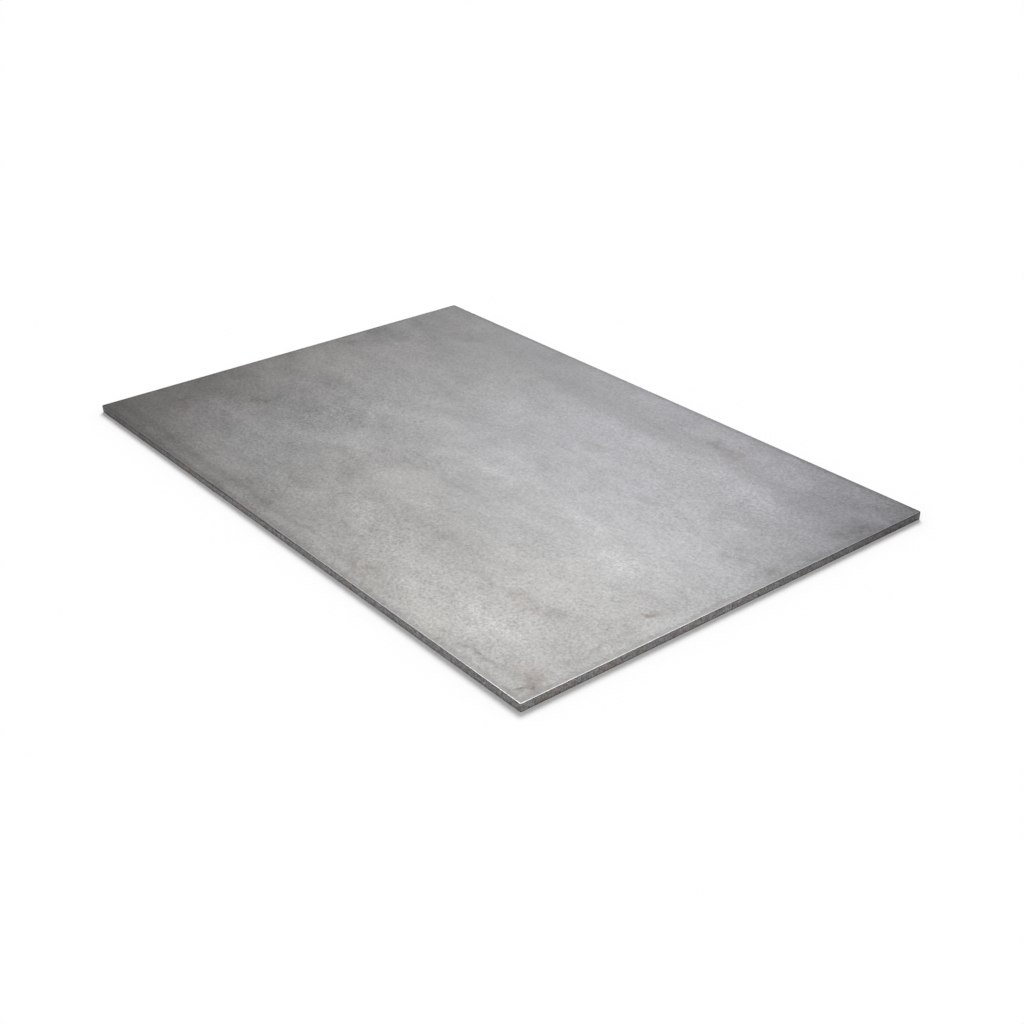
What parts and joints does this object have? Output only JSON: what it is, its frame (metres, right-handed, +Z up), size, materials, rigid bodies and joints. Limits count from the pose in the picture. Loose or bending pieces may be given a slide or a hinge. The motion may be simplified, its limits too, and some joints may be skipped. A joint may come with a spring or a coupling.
{
  "type": "steel plate",
  "caption": "Flat rectangular rolled steel plate with guillotine-sheared edges, raw stock for cutting, drilling or welding.",
  "frame": {"origin": "middle of the bottom face, on the surface that the plate lies on", "axes": "+X along the long side and the rolling direction, +Y across the width, +Z up through the thickness"},
  "size_m": [0.9, 0.6, 0.01],
  "materials": {
    "rolled_steel": "as rolled: matt to satin grey mill scale with faint rolling streaks and stains, darker sheared edges"
  },
  "bodies": {
    "root": {"plate": "rolled_steel"}
  },
  "joints": []
}
